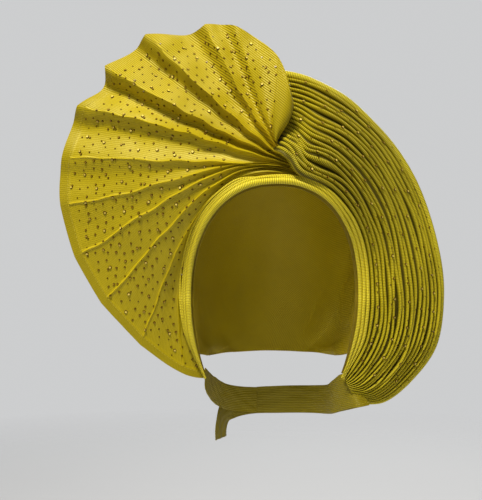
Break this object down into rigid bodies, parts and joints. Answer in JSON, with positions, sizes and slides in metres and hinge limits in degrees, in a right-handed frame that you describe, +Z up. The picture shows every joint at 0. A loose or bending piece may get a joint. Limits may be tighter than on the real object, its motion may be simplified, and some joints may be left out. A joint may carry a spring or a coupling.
{
  "type": "tied gele head tie",
  "caption": "Tied head wrap with a pleated fan on one side, a finely pleated wing on the other, a folded face band, a plain crown over the head and ties behind the neck.",
  "frame": {"origin": "middle of the head hollow, at the level of the eyes", "axes": "+X to the wearer's left, -Y the way the face looks, +Z up"},
  "size_m": [0.3597, 0.1866, 0.386],
  "materials": {
    "band_cloth": "yellow corded cloth, satin, folded",
    "crown_cloth": "yellow corded cloth, satin, plain",
    "wing_cloth": "yellow corded cloth, satin, finely pleated, with small set stones",
    "fan_cloth": "yellow corded cloth, satin, pleated, with small set stones",
    "tie_cloth": "yellow corded cloth, satin, flat"
  },
  "bodies": {
    "root": {"face_band": "band_cloth", "crown": "crown_cloth", "wing": "wing_cloth", "fan": "fan_cloth", "wing_tie": "tie_cloth", "fan_tie": "tie_cloth"}
  },
  "joints": []
}
